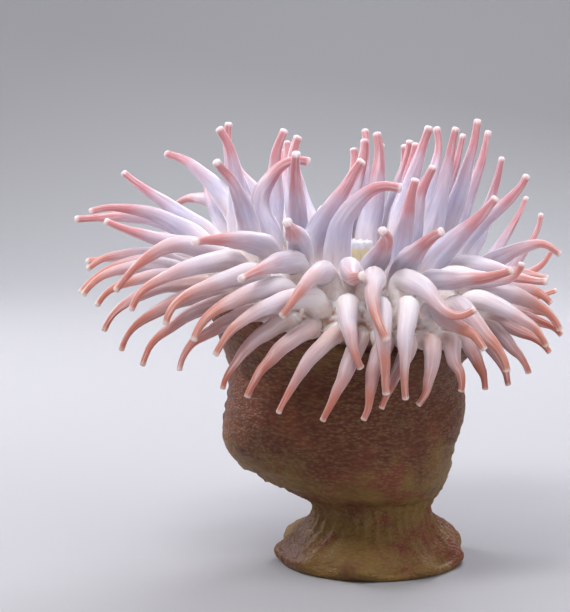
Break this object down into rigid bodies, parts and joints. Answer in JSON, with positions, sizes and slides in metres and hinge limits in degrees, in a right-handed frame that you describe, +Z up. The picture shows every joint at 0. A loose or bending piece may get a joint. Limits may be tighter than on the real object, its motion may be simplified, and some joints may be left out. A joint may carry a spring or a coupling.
{
  "type": "sea anemone",
  "caption": "Life-size dahlia-type sea anemone on its pedal disc, with a waisted olive column and an open crown of milky, pink-tipped tentacles round a raised mouth.",
  "frame": {"origin": "middle of the pedal disc's flat underside, on the floor", "axes": "+Z up the column, +X towards the right of the side the pose is seen from, where the crown's right edge spreads, +Y away from the viewer"},
  "size_m": [0.2181, 0.2007, 0.1969],
  "materials": {
    "column": "wet leathery olive-brown skin with fine cross wrinkles",
    "disc": "wet, cream, faintly rayed",
    "mouth": "wet, pale yellow-cream",
    "lips": "wet, bluish white",
    "tentacles_inner": "wet, milky and translucent, pink towards the tip",
    "tentacles_second": "wet, milky and translucent, pink towards the tip",
    "tentacles_third": "wet, milky and translucent, pink towards the tip",
    "tentacles_outer": "wet, milky, peach towards the tip",
    "tentacles_margin": "wet, peach to orange-brown towards the tip"
  },
  "bodies": {
    "root": {"pedal_disc": "column", "column_waist": "column", "column_belly": "column", "column_shoulder": "column", "collar": "column", "oral_disc": "disc", "mouth_cone": "mouth", "lip_near": "lips", "lip_far": "lips", "tentacles_inner_01": "tentacles_inner", "tentacles_inner_02": "tentacles_inner", "tentacles_inner_03": "tentacles_inner", "tentacles_inner_04": "tentacles_inner", "tentacles_inner_05": "tentacles_inner", "tentacles_inner_06": "tentacles_inner", "tentacles_inner_07": "tentacles_inner", "tentacles_inner_08": "tentacles_inner", "tentacles_inner_09": "tentacles_inner", "tentacles_inner_10": "tentacles_inner", "tentacles_second_01": "tentacles_second", "tentacles_second_02": "tentacles_second", "tentacles_second_03": "tentacles_second", "tentacles_second_04": "tentacles_second", "tentacles_second_05": "tentacles_second", "tentacles_second_06": "tentacles_second", "tentacles_second_07": "tentacles_second", "tentacles_second_08": "tentacles_second", "tentacles_second_09": "tentacles_second", "tentacles_second_10": "tentacles_second", "tentacles_third_01": "tentacles_third", "tentacles_third_02": "tentacles_third", "tentacles_third_03": "tentacles_third", "tentacles_third_04": "tentacles_third", "tentacles_third_05": "tentacles_third", "tentacles_third_06": "tentacles_third", "tentacles_third_07": "tentacles_third", "tentacles_third_08": "tentacles_third", "tentacles_third_09": "tentacles_third", "tentacles_third_10": "tentacles_third", "tentacles_outer_01": "tentacles_outer", "tentacles_outer_02": "tentacles_outer", "tentacles_outer_03": "tentacles_outer", "tentacles_outer_04": "tentacles_outer", "tentacles_outer_05": "tentacles_outer", "tentacles_outer_06": "tentacles_outer", "tentacles_outer_07": "tentacles_outer", "tentacles_outer_08": "tentacles_outer", "tentacles_outer_09": "tentacles_outer", "tentacles_outer_10": "tentacles_outer", "tentacles_margin_01": "tentacles_margin", "tentacles_margin_02": "tentacles_margin", "tentacles_margin_03": "tentacles_margin", "tentacles_margin_04": "tentacles_margin", "tentacles_margin_05": "tentacles_margin", "tentacles_margin_06": "tentacles_margin", "tentacles_margin_07": "tentacles_margin", "tentacles_margin_08": "tentacles_margin", "tentacles_margin_09": "tentacles_margin", "tentacles_margin_10": "tentacles_margin"}
  },
  "joints": []
}
